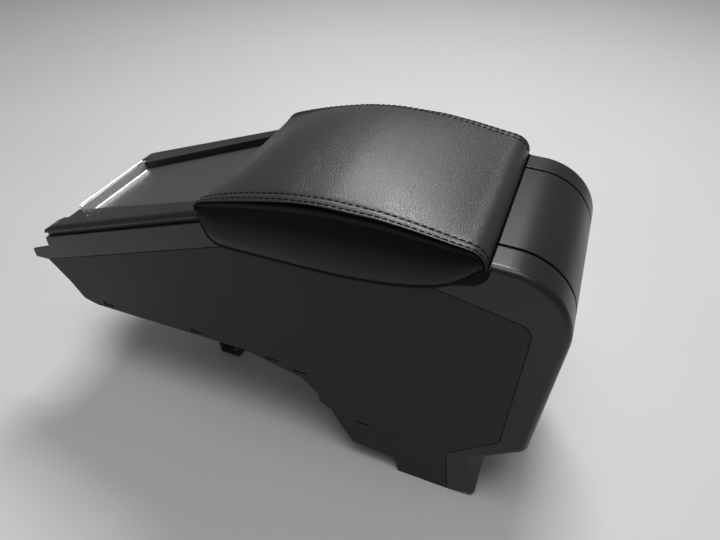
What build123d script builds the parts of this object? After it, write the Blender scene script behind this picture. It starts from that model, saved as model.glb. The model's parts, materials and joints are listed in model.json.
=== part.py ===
from build123d import *
import os
from math import cos, radians, sin, tan

# Rear section of a car's centre console with its hinged armrest and sliding cover.
# Millimetres: +X to the rear, +Y to the right of the car, +Z up, floor at zero.

# Walls and gaps
WALL = 3.0            # moulded wall of the frame and the panels
RIB = 2.5             # inner walls of the frame and the carrier
SEAM_GAP = 0.8        # visible gap between flush pieces
FIT = 0.3             # gap between pieces that seat on each other
RUN = 1.2             # gap between pieces that move past each other
FAR = 400.0           # reach of a cutter past the whole console

# Side walls, which lean in towards the top and towards the front
REAR_HALF = 105.0     # half width at the floor, at the rear
PLAN_TAPER = 0.0075   # narrowing for each mm forward
DRAFT = 0.0180        # narrowing for each mm up
EDGE_R = 6.0          # rolled edge along rails and hoop

# Side profile of the console
RAIL_X = -258.0       # front end of the rails beside the cover
RAIL_Z = 233.5        # crest of the rails at that end
RAIL_ANGLE = 19.3     # slope of the rails in degrees
KNEE_X = 15.0         # where the slope of the rails turns level
KNEE_R = 200.0
HOOP_X = 302.0        # rear face of the hoop, at the top corner
HOOP_Z = 322.0
HOOP_R = 62.0         # round of the top rear corner
HEEL = (291.0, 108.0)     # lower rear corner of the hoop
HEEL_R = 14.0
ARCH = (237.0, 64.0)      # where the underside meets the foot
FOOT_REAR = 250.0         # rear edge of the foot at the floor
FOOT_FRONT = 221.0        # front edge of the frame's foot at the floor
FOOT_LIFT = 6.0           # rear edge of the foot above the floor
FOOT_CORNER = 20.0        # slanted rear corner of the foot, at its top
TONGUE_X = -311.0         # tip of the locating tongues at the front
TONGUE_Z = (177.0, 188.0, 200.0)    # underside, tip and root
CHIN = (-281.0, 209.0)    # lower end of the rounded front of the rails' outer walls
BROW = (-278.5, 224.0)    # middle of that round
RAIL_NOSE = 9.0           # reach of the outer walls past the rails' front end
RAIL_STEP = 22.0          # width of the outer walls there
GROOVE_DROP = 6.0        # shadow groove below the crest of the rails
GROOVE_HEIGHT = 6.0
GROOVE_DEPTH = 4.5

# Outline of a side panel: the seam to the frame, then the stepped lower edge, as (x, z, corner radius)
PANEL_OUTLINE = (
    (-291.0, 178.0, 0), (75.0, 308.0, 450), (267.5, 270.0, 14), (263.5, 112.0, 5),
    (213.5, 65.0, 8), (FOOT_FRONT, 0.0, 0), (163.0, 0.0, 2), (157.0, 22.0, 3),
    (106.0, 26.0, 6), (92.0, 48.0, 6), (79.0, 73.0, 3), (65.0, 81.0, 3),
    (64.0, 93.0, 3), (45.0, 112.0, 8), (-28.0, 128.0, 30), (-236.0, 123.0, 8),
    (-255.0, 128.0, 6), (-268.0, 150.0, 6))
CLIP_PLACES = ((-224.0, 132.5), (-97.0, 135.5), (2.0, 130.0), (36.0, 124.0), (110.0, 70.0))
CLIP_SLOT = (15.0, 5.0)

# Opening between the rails, and the sliding cover in it
RAIL_W = 47.0         # from the opening's edge to the console's floor width, at the front end of the rails
OPEN_TAPER = 0.080    # widening for each mm to the rear
OPEN_KNEE = -56.0     # behind this the opening keeps its width
DECK_DROP = 8.0       # cover surface below the crest
COVER_LEN = 221.4
COVER_T = 3.0
COVER_TRAVEL = 118.0
LIP_HEIGHT = 11.0     # polished lip, from the cover to the middle of its rolled edge
LIP_T = 2.2
LIP_FOOT = 9.0
LIP_BEND = 6.4        # where the lip turns up, from the cover's front edge
BEAD_R = 2.0          # rolled edge of the lip
TRACK_INSET = 3.0     # from the opening's edge to the outer face of a track
TRACK_W = 8.0
TRACK_H = 12.0
TRACK_WALL = 1.6
RUNNER_START = 16.0
RUNNER_LEN = 80.0
RUNNER_WALL = 4.0

# Cup tray under the cover
TRAY_T = 2.2
TRAY_DROP = 16.0      # tray deck below the cover surface
CUP_X = -198.0
CUP_R = 38.0
CUP_FLOOR = 168.0
MAT_T = 1.8
BAR_LEN = 18.0        # bar of the frame between the tray and the bin
BAR_GAP = 6.0

# Armrest hinge and the recess that takes the armrest
HINGE_X = 204.0
HINGE_Z = 321.0
ROLL_R = 19.0         # rolled rear end of the armrest, round the hinge axis
LEDGE_Z = 312.0       # ledges of the frame under the armrest
LID_GAP = 1.5

# Storage bin
BIN_X = (-16.0, 156.0)
BIN_INSET = 41.0      # bin, flange and bosses, measured in from the floor width
BIN_TOP = 298.0
BIN_DEPTH = 158.0
BIN_T = 2.2
BIN_R = 14.0
FLANGE_T = 2.5
FLANGE_INSET = 19.0
BOSS_INSET = 23.0
BOSS_R = 4.0
BOSS_X = (14.0, 134.0)

# Rear beam, hinge bracket and arms
BEAM_X = 166.0
BEAM_T = 8.0
PLATE_T = 2.5         # steel sheet of bracket and arms
EAR_R = 7.5
EAR_INSET = 17.5      # outer face of the ears, measured in from the rear panel's slot
ARM_GAP = 1.0
PIN_R = 3.0
PIN_PLAY = 0.05
BRACKET_X = (170.0, 197.0)
ARM_X = 148.0
ARM_FLANGE = 18.0
WASHER_R = 6.0

# Rear panel between the legs of the hoop
LEG_W = 36.0          # leg of the hoop, measured in from the floor width
REAR_GAP = 3.6        # shadow gap beside the rear panel
REAR_PANEL_LOW = 112.0

# Armrest: seam stations as (x, height, step in from the floor width, crown)
SEAM = (
    (-60.0, 314.0, 4.0, 3.0), (-40.0, 324.0, 3.5, 4.0), (-9.0, 333.0, 2.0, 5.0),
    (22.0, 340.0, 0.8, 6.0), (55.0, 346.0, 0.0, 7.0), (90.0, 348.5, 0.0, 7.0),
    (125.0, 349.0, 0.0, 7.0), (166.0, 346.0, 0.0, 5.0))
PAD_NOSE_X = -55.0
PAD_NOSE_R = 9.0
LEATHER = 1.6
BASE_TOP = (
    (-51.0, 311.5), (-20.0, 322.0), (13.0, 330.0), (53.0, 340.5), (66.0, 343.2),
    (125.0, 341.0), (167.0, 338.5), (186.0, 335.5))
BASE_SHELL = 3.0
BASE_HOLLOW = (76.0, 144.0)
ROLL_CORE = (10.5, 13.5)
GUSSET_EDGE = (
    (-47.0, 305.0), (-44.0, 292.0), (-33.0, 280.0), (-14.0, 274.5), (20.0, 276.0), (60.0, 281.0),
    (110.0, 285.0), (150.0, 288.5), (186.0, 296.0), (210.0, 309.0), (221.0, 323.0))

# Carrier, feet and front bracket
FLOOR_PLATE_Z = 134.0
FLOOR_PLATE_X = (-230.0, -40.0)
REAR_WALL_X = 176.0
FOOT_T = 4.0
FOOT_X = (170.0, 216.0)
FOOT_W = 60.0         # foot, measured in from the floor width
FOOT_HOLE_X = 193.0
FOOT_HOLE_INSET = 35.0
FOOT_HOLE_R = 4.5
BRACKET_WEB_X = -131.0
BRACKET_HALF = 20.0
BRACKET_FLANGE = 30.0
BRACKET_HOLE_R = 3.5
BRACKET_HOLE_HALF = 11.0
BOLT_R = 3.0
BOLT_HEAD_R = 5.0
BOLT_HEAD = 4.0
SCREW_R = 2.0
SCREW_HEAD_R = 3.6
SCREW_HEAD = 2.4
HOLE_PLAY = 0.1
STOP_R = 4.0
STOP_X = (16.0, 132.0)

SLOPE = tan(radians(RAIL_ANGLE))
PANEL_FRONT = HINGE_X + ROLL_R + RUN
BEAM_TOP = BIN_TOP
KNEE_Z = RAIL_Z + (KNEE_X - RAIL_X) * SLOPE
LEDGE_X = RAIL_X + (LEDGE_Z - RAIL_Z) / SLOPE
BIN_FLOOR = BIN_TOP - BIN_DEPTH
OPEN_HALF = REAR_HALF - RAIL_W
TRACK_HALF = OPEN_HALF - TRACK_INSET
BIN_HALF = REAR_HALF - BIN_INSET
FLANGE_HALF = REAR_HALF - FLANGE_INSET
BOSS_HALF = REAR_HALF - BOSS_INSET
SLOT_HALF = REAR_HALF - LEG_W
EAR_HALF = SLOT_HALF - EAR_INSET
FOOT_INNER = REAR_HALF - FOOT_W
FOOT_HOLE_Y = REAR_HALF - FOOT_HOLE_INSET
BAR_REAR = BIN_X[0] - BAR_GAP
BAR_FRONT = BAR_REAR - BAR_LEN
TRAY_LEN = (BAR_FRONT - RAIL_X) / cos(radians(RAIL_ANGLE)) - TRAY_DROP - DECK_DROP - WALL


def crest(x):
    """Height of the rails' crest along their slope."""
    return RAIL_Z + (x - RAIL_X) * SLOPE


def half_width(x, z):
    """Half width of the console's side faces."""
    return REAR_HALF - (HOOP_X - x) * PLAN_TAPER - z * DRAFT


def open_half(x):
    """Half width of the opening between the rails."""
    return OPEN_HALF + (min(x, OPEN_KNEE) - RAIL_X) * OPEN_TAPER


def deck_point(u, v):
    """Side view place of a point u along the cover from its front edge and v above its surface."""
    angle = radians(RAIL_ANGLE)
    x0 = RAIL_X + DECK_DROP * sin(angle)
    z0 = RAIL_Z - DECK_DROP * cos(angle)
    return (x0 + u * cos(angle) - v * sin(angle), z0 + u * sin(angle) + v * cos(angle))


def hinge_point(radius, angle):
    """Side view place of a point round the hinge axis."""
    return (HINGE_X + radius * cos(radians(angle)), HINGE_Z + radius * sin(radians(angle)))


def side_face(points, radii=0.0):
    """Face in the X Z plane from the corners of a side view."""
    return Plane.XZ * make_face(FilletPolyline(*points, radius=radii, close=True))


def across(face, low=-FAR, high=FAR):
    """Solid of a side view face between two sideways places."""
    return Pos(0, high, 0) * extrude(face, amount=high - low)


def side_prism(points, radii=0.0, low=-FAR, high=FAR):
    """Solid of a side view outline between two sideways places."""
    return across(side_face(points, radii), low, high)


def plan_prism(points, low=-FAR, high=FAR):
    """Upright solid of an outline in plan."""
    return Pos(0, 0, low) * extrude(make_face(Polyline(*points, close=True)), amount=high - low)


def deck_strip(u0, u1, v0, v1, low=-FAR, high=FAR):
    """Solid between two places along the cover and two heights over its surface."""
    corners = (deck_point(u0, v0), deck_point(u1, v0), deck_point(u1, v1), deck_point(u0, v1))
    return side_prism(corners, 0.0, low, high)


def upright(radius, x, y, low, high):
    """Upright round bar."""
    return Pos(x, y, low) * extrude(Circle(radius), amount=high - low)


def crossbar(radius, low, high, x=HINGE_X, z=HINGE_Z):
    """Round bar along Y, by default on the hinge axis."""
    return across(Plane.XZ * (Pos(x, z) * Circle(radius)), low, high)


def block(x0, x1, y0, y1, z0, z1):
    """Box from its limits."""
    return Pos((x0 + x1) / 2, (y0 + y1) / 2, (z0 + z1) / 2) * Box(x1 - x0, y1 - y0, z1 - z0)


def both_sides(solid):
    """A solid and its mirror image on the other side of the car's length."""
    return solid + mirror(solid, about=Plane.XZ)


def wedge(grow=0.0):
    """Space between the two leaning side faces, moved out by grow."""
    origin = (0, half_width(0, 0) + grow, 0)
    face = Plane(origin=origin, z_dir=(-PLAN_TAPER, 1, DRAFT))
    inside = face * (Pos(0, 0, -FAR) * Box(4 * FAR, 4 * FAR, 2 * FAR))
    return inside & mirror(inside, about=Plane.XZ)


def form(inset):
    """Right half of the console body, moved in by inset from its outer surface."""
    corners = (
        (-FAR, crest(-FAR)), (KNEE_X, KNEE_Z), (HOOP_X, HOOP_Z), HEEL, ARCH,
        (FOOT_REAR, 0.0), (FOOT_REAR, -FAR), (-FAR, -FAR))
    radii = (0, KNEE_R, HOOP_R, HEEL_R, 0, 0, 0, 0)
    face = side_face(corners, radii)
    if inset > 0:
        face = offset(face, amount=-inset)
    body = across(face, 0, FAR) & wedge(-inset)
    rim = [edge for edge in body.edges() if edge.center().Z > ARCH[1] and edge.center().Y > SLOT_HALF
           and edge.center().X > -FAR + EDGE_R]
    return fillet(rim, EDGE_R - inset)


def panel_zone(grow=0.0):
    """Side view of a side panel, moved out by grow."""
    corners = [(x, z) for x, z, _ in PANEL_OUTLINE]
    face = side_face(corners, [radius for _, _, radius in PANEL_OUTLINE])
    return offset(face, amount=grow) if grow > 0 else face


def opening(grow=0.0):
    """Upright space between the rails, moved out by grow."""
    ends = (RAIL_X - FAR, OPEN_KNEE, BEAM_X)
    right = [(x, open_half(x) + grow) for x in ends]
    left = [(x, -y) for x, y in reversed(right)]
    return plan_prism(right + left, 0.0, FAR)


def top_frame(shell):
    """Rails, side bands, rear hoop and feet, with ledges and a beam under the armrest, from the half shell."""
    tongue_low, tongue_tip, tongue_root = TONGUE_Z
    seam_x, seam_z, _ = PANEL_OUTLINE[0]
    nose = RAIL_X - RAIL_NOSE
    keep = side_prism((
        (seam_x, seam_z), (TONGUE_X, tongue_low), (TONGUE_X, tongue_tip), (CHIN[0], tongue_root),
        CHIN, BROW, (nose, crest(nose)), (nose, FAR), (FAR, FAR), (FAR, FOOT_LIFT), (FOOT_REAR, FOOT_LIFT),
        (FOOT_FRONT, 0.0), (FOOT_X[0], ARCH[1]), (BEAM_X, ARCH[1] * 3), (-BEAM_X, seam_z)))
    recess = block(LEDGE_X, PANEL_FRONT, -FAR, FAR, LEDGE_Z, FAR)
    panels = across(panel_zone(SEAM_GAP))
    frame = ((shell - panels) & keep) - recess
    run_in = LEDGE_X - 3 * WALL
    ledge = side_prism((
        (run_in, crest(run_in)), (LEDGE_X, LEDGE_Z), (PANEL_FRONT + WALL, LEDGE_Z),
        (PANEL_FRONT + WALL, LEDGE_Z - WALL), (LEDGE_X, LEDGE_Z - WALL), (run_in, crest(run_in) - WALL)),
        0.0, 0, FAR)
    step = block(PANEL_FRONT, PANEL_FRONT + WALL, -FAR, FAR, BEAM_TOP - BEAM_T, FAR)
    beam = block(BEAM_X, PANEL_FRONT + WALL, -FAR, FAR, BEAM_TOP - BEAM_T, BEAM_TOP)
    inside = form(WALL / 2)
    frame += (ledge & wedge()) - opening()
    frame += step & inside
    frame -= block(PANEL_FRONT - WALL, FAR, -SLOT_HALF, SLOT_HALF, -FAR, FAR)
    frame += (beam & inside) - panels
    frame += rail_walls() + cross_bar()
    bosses = [upright(BOSS_R, x, BOSS_HALF, BIN_TOP, LEDGE_Z - WALL / 2) for x in BOSS_X]
    frame += bosses[0] + bosses[1]
    frame -= crossbar(ROLL_R + RUN, -FAR, FAR) & block(HINGE_X, FAR, -FAR, FAR, 0, FAR)
    frame -= block(0, PANEL_FRONT - WALL, -open_half(BEAM_X), open_half(BEAM_X), BIN_TOP, FAR)
    frame -= opening() & side_prism((
        deck_point(-FAR, -TRAY_DROP), deck_point(FAR, -TRAY_DROP), deck_point(FAR, FAR), deck_point(-FAR, FAR)),
        0.0) & block(-FAR, LEDGE_X, -FAR, FAR, 0, FAR)
    frame += groove_back() & keep
    frame -= shadow_groove()
    frame -= rail_step()
    frame -= foot_relief()
    frame += foot_corner()
    frame -= bin_screw_holes() + hinge_screw_holes()
    return both_sides(frame)


def rail_walls():
    """Inner walls of the rails, down to the cup tray and to the bin's flange."""
    drop = (DECK_DROP + TRAY_DROP) / cos(radians(RAIL_ANGLE))
    strip = side_prism((
        (RAIL_X, RAIL_Z - WALL), (LEDGE_X, LEDGE_Z - WALL), (BEAM_X - WALL, LEDGE_Z - WALL), (BEAM_X - WALL, BIN_TOP),
        (BAR_REAR, BIN_TOP), (BAR_REAR, crest(BAR_REAR) - drop), (RAIL_X, RAIL_Z - drop)), 0.0, 0, FAR)
    return (strip & opening(RIB)) - opening()


def cross_bar():
    """Bar across the opening between the cup tray and the bin."""
    drop = (DECK_DROP + TRAY_DROP) / cos(radians(RAIL_ANGLE))
    low = crest(BAR_FRONT) - drop - WALL
    bar = side_prism((
        (BAR_FRONT, low), (BAR_REAR, low + WALL), (BAR_REAR, crest(BAR_REAR) - drop + WALL),
        (BAR_FRONT, crest(BAR_FRONT) - drop + WALL)),
        0.0, 0, FAR)
    return bar & opening(RIB)


def groove_strip(grow=0.0):
    """Side view strip of the groove along the rails, made higher by grow above and below."""
    front = TONGUE_X
    rear = LEDGE_X + 10 * GROOVE_HEIGHT
    top = -GROOVE_DROP / cos(radians(RAIL_ANGLE)) + grow
    low = top - GROOVE_HEIGHT - 2 * grow
    return side_prism((
        (front, crest(front) + top), (LEDGE_X, LEDGE_Z + top), (rear, LEDGE_Z + top),
        (rear, LEDGE_Z + low), (LEDGE_X, LEDGE_Z + low), (front, crest(front) + low)), 0.0, 0, FAR)


def shadow_groove():
    """Groove along the outer side of each rail."""
    return groove_strip() - wedge(-GROOVE_DEPTH)


def groove_back():
    """Wall behind the groove."""
    return (groove_strip(RIB) & wedge(-WALL / 2)) - wedge(-GROOVE_DEPTH - RIB)


def rail_step():
    """Step back of the rails beside the cover, behind the front end of their outer walls."""
    half = half_width(RAIL_X, RAIL_Z) - RAIL_STEP
    low = RAIL_Z - DECK_DROP - TRAY_DROP
    return block(-FAR, RAIL_X, -half, half, low, FAR)


def foot_relief():
    """Clears the foot's rear wall down to a flange that narrows towards the floor."""
    top = half_width(FOOT_REAR, 0) - ARCH[1] / 2
    low = half_width(FOOT_REAR, 0) - 2 * WALL
    profile = Polyline((-top, ARCH[1]), (top, ARCH[1]), (low, 0), (low, -FAR), (-low, -FAR), (-low, 0), close=True)
    relief = extrude(Plane.YZ * make_face(profile), amount=FAR)
    return Pos(FOOT_FRONT + 2 * WALL, 0, 0) * relief


def foot_corner():
    """Slanted rear corner of a foot, under the hoop and narrowing towards the floor."""
    lean = (FOOT_REAR - ARCH[0]) / ARCH[1]
    sections = []
    for z, width in ((0.0, WALL / 2), (ARCH[1] + FOOT_CORNER, FOOT_CORNER)):
        x = FOOT_REAR - z * lean
        y = half_width(x, z) - FIT
        corner = Polyline((x - WALL, y), (x, y), (x + width, y - width), (x - WALL, y - width), close=True)
        sections.append(Pos(0, 0, z) * make_face(corner))
    slope = (HEEL[1] - ARCH[1]) / (HEEL[0] - ARCH[0])
    rise = WALL / 2
    under = side_prism((
        (0.0, FOOT_LIFT), (0.0, ARCH[1] - ARCH[0] * slope + rise), (FAR, ARCH[1] + (FAR - ARCH[0]) * slope + rise),
        (FAR, FOOT_LIFT)))
    return loft(sections, ruled=True) & under


def side_panels(shell):
    """Left and right side panel, cut from the body's wall along the seam."""
    right = (shell & across(panel_zone())) - clip_slots()
    return mirror(right, about=Plane.XZ), right


def clip_slots():
    """Slots for the panel clips near the lower edge of the panels."""
    length, height = CLIP_SLOT
    slots = [block(x, x + length, -FAR, FAR, z - height, z) for x, z in CLIP_PLACES]
    return slots[0] + slots[1:]


def panel_clips():
    """Spring clips that reach from the carrier through the panels' slots."""
    length, height = CLIP_SLOT
    clips = []
    for x, z in CLIP_PLACES:
        body = block(x + FIT, x + length - FIT, 0, FAR, z - height + FIT, z - FIT)
        clips.append((body & wedge(-WALL / 2)) - wedge(-WALL - FIT))
    pair = clips[0] + clips[1:]
    return pair + mirror(pair, about=Plane.XZ)


def rear_panel(shell):
    """Centre panel between the legs of the hoop, with a front flange on the beam."""
    half = SLOT_HALF - REAR_GAP
    space = block(PANEL_FRONT, FAR, -half, half, REAR_PANEL_LOW, FAR)
    flange = block(PANEL_FRONT, PANEL_FRONT + WALL, -half, half, BEAM_TOP + FIT, FAR) & form(WALL / 2)
    return both_sides((shell & space) + flange)


def carrier():
    """Inner moulding behind the panels: side walls, floor plate, rear wall and feet."""
    outer = wedge(-WALL - FIT)
    front, rear = FLOOR_PLATE_X
    drop = GROOVE_DROP / cos(radians(RAIL_ANGLE)) + GROOVE_HEIGHT + RIB + FIT
    beam_low = BEAM_TOP - BEAM_T - FIT
    seam = [(x + 2 * WALL, z) for x, z, _ in PANEL_OUTLINE[5:1:-1]]
    outline = (
        (front, FLOOR_PLATE_Z), (-25.0, FLOOR_PLATE_Z + 4), (55.0, 120.0), (80.0, 92.0), (100.0, 64.0),
        (116.0, 36.0), (FOOT_X[0], 32.0), (FOOT_X[0], 0.0), *seam, (250.0, beam_low), (BEAM_X - FIT, beam_low),
        (BEAM_X - FIT, LEDGE_Z - drop), (LEDGE_X, LEDGE_Z - drop), (front, crest(front) - drop))
    walls = both_sides((side_prism(outline, 0.0, 0, FAR) & outer) - wedge(-WALL - FIT - RIB))
    floor_plate = block(front, rear, -FAR, FAR, FLOOR_PLATE_Z, FLOOR_PLATE_Z + RIB)
    rear_wall = block(REAR_WALL_X, REAR_WALL_X + RIB, -FAR, FAR, 0.0, beam_low)
    feet = both_sides(block(*FOOT_X, FOOT_INNER, FAR, 0.0, FOOT_T) & outer)
    base = walls + (floor_plate & outer) + (rear_wall & outer) + feet
    base -= block(-FAR, FAR, -FOOT_INNER, FOOT_INNER, -FAR, FLOOR_PLATE_Z / 2)
    base -= both_sides(upright(FOOT_HOLE_R, FOOT_HOLE_X, FOOT_HOLE_Y, -FOOT_T, 2 * FOOT_T))
    for y in (-BRACKET_HOLE_HALF, BRACKET_HOLE_HALF):
        base -= upright(BOLT_R + HOLE_PLAY, bracket_bolt_x(), y, 0, FAR)
    return base


def bracket_bolt_x():
    """Place of the bolts that hold the front bracket under the floor plate."""
    return BRACKET_WEB_X - BRACKET_FLANGE / 2


def front_bracket():
    """Folded steel bracket that stands on the floor and carries the front half."""
    front = BRACKET_WEB_X - BRACKET_FLANGE
    rear = BRACKET_WEB_X + BRACKET_FLANGE
    top = FLOOR_PLATE_Z
    section = (
        (BRACKET_WEB_X, 0.0), (rear, 0.0), (rear, PLATE_T), (BRACKET_WEB_X + PLATE_T, PLATE_T),
        (BRACKET_WEB_X + PLATE_T, top), (front, top), (front, top - PLATE_T), (BRACKET_WEB_X, top - PLATE_T))
    bracket = side_prism(section, 0.0, -BRACKET_HALF, BRACKET_HALF)
    for y in (-BRACKET_HOLE_HALF, BRACKET_HOLE_HALF):
        bracket -= upright(BRACKET_HOLE_R, BRACKET_WEB_X + BRACKET_FLANGE * 0.6, y, -1, 2 * PLATE_T)
        bracket -= upright(BOLT_R + HOLE_PLAY, bracket_bolt_x(), y, top - 2 * PLATE_T, top + 1)
    return bracket


def bracket_bolts():
    """Bolts through the front bracket and the floor plate."""
    bolts = []
    for y in (-BRACKET_HOLE_HALF, BRACKET_HOLE_HALF):
        seat = FLOOR_PLATE_Z - PLATE_T
        shank = upright(BOLT_R, bracket_bolt_x(), y, seat, FLOOR_PLATE_Z + RIB + BOLT_HEAD)
        head = Pos(bracket_bolt_x(), y, seat - BOLT_HEAD) * extrude(RegularPolygon(BOLT_HEAD_R, 6), amount=BOLT_HEAD)
        bolts.append(shank + head)
    return bolts[0] + bolts[1]


def cup_tray():
    """Tray under the cover with a cup well."""
    deck = deck_strip(WALL, TRAY_LEN + WALL, -TRAY_DROP - TRAY_T, -TRAY_DROP) & opening(RIB + WALL)
    below = side_prism((
        deck_point(-FAR, -TRAY_DROP), (-FAR, -FAR), (FAR, -FAR), deck_point(FAR, -TRAY_DROP)))
    well = upright(CUP_R + TRAY_T, CUP_X, 0, CUP_FLOOR - TRAY_T, FAR)
    return deck + (well & below) - upright(CUP_R, CUP_X, 0, CUP_FLOOR, FAR)


def cup_mat():
    """Rubber disc in the cup well."""
    return upright(CUP_R - FIT, CUP_X, 0, CUP_FLOOR, CUP_FLOOR + MAT_T)


def track(side):
    """Channel on the tray that takes a runner, open towards the middle."""
    low = -TRAY_DROP
    high = low + TRACK_H
    inner = TRACK_HALF - TRACK_W
    body = deck_strip(WALL, TRAY_LEN, low, high, inner, TRACK_HALF)
    body -= deck_strip(-FAR, FAR, low + TRACK_WALL, high - TRACK_WALL, -FAR, TRACK_HALF - TRACK_WALL)
    return body if side > 0 else mirror(body, about=Plane.XZ)


def runner(side):
    """Guide under the cover with a tongue that runs in the track."""
    inner = TRACK_HALF - TRACK_W - RUN
    low = -TRAY_DROP + TRACK_WALL + FIT
    high = -TRAY_DROP + TRACK_H - TRACK_WALL - FIT
    rear = RUNNER_START + RUNNER_LEN
    stem = deck_strip(RUNNER_START, rear, low, -COVER_T, inner - RUNNER_WALL, inner)
    tongue = deck_strip(RUNNER_START, rear, low, high, inner - RUNNER_WALL, TRACK_HALF - TRACK_WALL - FIT)
    body = stem + tongue
    return body if side > 0 else mirror(body, about=Plane.XZ)


def sliding_cover():
    """Flat cover that slides back under the armrest, seated in the lip at its front."""
    return deck_strip(LIP_FOOT, COVER_LEN, -COVER_T, 0.0) & opening(-RUN)


def polished_lip():
    """Upturned pull along the cover's front edge."""
    section = [deck_point(u, v) for u, v in (
        (LIP_FOOT, -COVER_T), (LIP_FOOT, 0.0), (LIP_BEND, 0.0), (BEAD_R + LIP_T / 2, LIP_HEIGHT),
        (BEAD_R - LIP_T / 2, LIP_HEIGHT), (LIP_BEND - LIP_T, -LIP_T), (LIP_BEND - LIP_T, -COVER_T))]
    x, z = deck_point(BEAD_R - FIT, LIP_HEIGHT)
    return (side_prism(section) + crossbar(BEAD_R, -FAR, FAR, x, z)) & opening(-RUN)


def storage_bin():
    """Deep bin under the armrest, hung from the frame by its flange."""
    x0, x1 = BIN_X
    middle = (x0 + x1) / 2
    outer = Pos(middle, 0, BIN_FLOOR) * extrude(RectangleRounded(x1 - x0, 2 * BIN_HALF, BIN_R), amount=BIN_DEPTH)
    room = RectangleRounded(x1 - x0 - 2 * BIN_T, 2 * (BIN_HALF - BIN_T), BIN_R - BIN_T)
    inner = Pos(middle, 0, BIN_FLOOR + BIN_T) * extrude(room, amount=BIN_DEPTH)
    flange = block(x0 - WALL, BEAM_X - FIT, -FLANGE_HALF, FLANGE_HALF, BIN_TOP - FLANGE_T, BIN_TOP)
    return outer + flange - inner - bin_screw_holes()


def bin_mat():
    """Felt mat on the floor of the bin."""
    x0, x1 = BIN_X
    gap = BIN_T + FIT
    sheet = RectangleRounded(x1 - x0 - 2 * gap, 2 * (BIN_HALF - gap), BIN_R - gap)
    return Pos((x0 + x1) / 2, 0, BIN_FLOOR + BIN_T) * extrude(sheet, amount=MAT_T)


def screw(x, y, seat, tip):
    """Pan-head screw with its head on the seat and its shank up or down to the tip."""
    head_end = seat - SCREW_HEAD if tip > seat else seat + SCREW_HEAD
    shank = upright(SCREW_R, x, y, min(seat, tip), max(seat, tip))
    return shank + upright(SCREW_HEAD_R, x, y, min(seat, head_end), max(seat, head_end))


def group(solids):
    """Separate solids kept together as one node."""
    return Compound([solid for item in solids for solid in item.solids()])


def bin_screw_places():
    """Places of the screws through the bin's flange into the frame's bosses."""
    return [(x, y) for x in BOSS_X for y in (-BOSS_HALF, BOSS_HALF)]


def bin_screw_holes():
    """Holes for the bin screws in flange and bosses."""
    tip = LEDGE_Z - WALL
    holes = [upright(SCREW_R + HOLE_PLAY, x, y, BIN_TOP - 2 * FLANGE_T, tip) for x, y in bin_screw_places()]
    return holes[0] + holes[1:]


def bin_screws():
    """Screws that hang the bin in the frame."""
    seat = BIN_TOP - FLANGE_T
    return group([screw(x, y, seat, LEDGE_Z - 2 * WALL) for x, y in bin_screw_places()])


def hinge_screw_places():
    """Places of the screws through the hinge bracket into the beam."""
    x0, x1 = BRACKET_X
    inset = 2 * SCREW_HEAD_R
    half = EAR_HALF - ARM_FLANGE - 2 * PLATE_T - SCREW_HEAD_R
    return [(x, y) for x in (x0 + inset, x1 - inset) for y in (-half, half)]


def hinge_screw_holes():
    """Holes for the hinge screws in bracket and beam."""
    low = BEAM_TOP - BEAM_T
    holes = [upright(SCREW_R + HOLE_PLAY, x, y, low - 1, BEAM_TOP + 2 * PLATE_T) for x, y in hinge_screw_places()]
    return holes[0] + holes[1:]


def hinge_screws():
    """Screws that hold the hinge bracket on the beam."""
    return group([screw(x, y, BEAM_TOP + PLATE_T, BEAM_TOP - BEAM_T + 1) for x, y in hinge_screw_places()])


def hinge_bracket():
    """Folded steel bracket with an ear at each end for the hinge pin."""
    x0, x1 = BRACKET_X
    top = BEAM_TOP + PLATE_T
    base = block(x0, x1, -EAR_HALF, EAR_HALF, BEAM_TOP, top)
    hub = hinge_point(EAR_R, 135)
    chin = hinge_point(EAR_R, -45)
    web = side_prism(((x0, BEAM_TOP), (x1, BEAM_TOP), chin, hub), 0.0, EAR_HALF - PLATE_T, EAR_HALF)
    ear = web + crossbar(EAR_R, EAR_HALF - PLATE_T, EAR_HALF)
    ear -= crossbar(PIN_R + PIN_PLAY, -FAR, FAR)
    return base + both_sides(ear) - hinge_screw_holes()


def arm_half():
    """Outer face of the hinge arms, beside the bracket's ears."""
    return EAR_HALF - PLATE_T - ARM_GAP


def hinge_arms():
    """Pair of steel arms screwed under the armrest base, each on the hinge pin."""
    top = LEDGE_Z + LID_GAP
    low = top - PLATE_T
    rear = HINGE_X - ROLL_R
    outer = arm_half()
    flange = block(ARM_X, rear, outer - ARM_FLANGE, outer, low, top)
    hub = hinge_point(EAR_R, 135)
    chin = hinge_point(EAR_R, -60)
    web = side_prism(((rear - EAR_R, low), chin, hub, (rear, top), (rear - EAR_R, top)), 0.0, outer - PLATE_T, outer)
    arm = flange + web + crossbar(EAR_R, outer - PLATE_T, outer)
    arm -= crossbar(PIN_R + PIN_PLAY, -FAR, FAR)
    pair = [arm, mirror(arm, about=Plane.XZ)]
    return group([half - arm_screw_holes() for half in pair])


def arm_screw_places():
    """Places of the screws through the hinge arms into the armrest base."""
    y = arm_half() - ARM_FLANGE / 2 - PLATE_T / 2
    inset = 2 * SCREW_HEAD_R
    return [(x, side * y) for x in (ARM_X + inset, HINGE_X - ROLL_R - inset) for side in (-1, 1)]


def arm_screw_holes():
    """Holes for the arm screws in arms and base."""
    seat = LEDGE_Z + LID_GAP - PLATE_T
    holes = [upright(SCREW_R + HOLE_PLAY, x, y, seat - 1, seat + 5 * PLATE_T) for x, y in arm_screw_places()]
    return holes[0] + holes[1:]


def arm_screws():
    """Screws that hold the hinge arms to the armrest base."""
    seat = LEDGE_Z + LID_GAP - PLATE_T
    return group([screw(x, y, seat, seat + 4 * PLATE_T) for x, y in arm_screw_places()])


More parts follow.
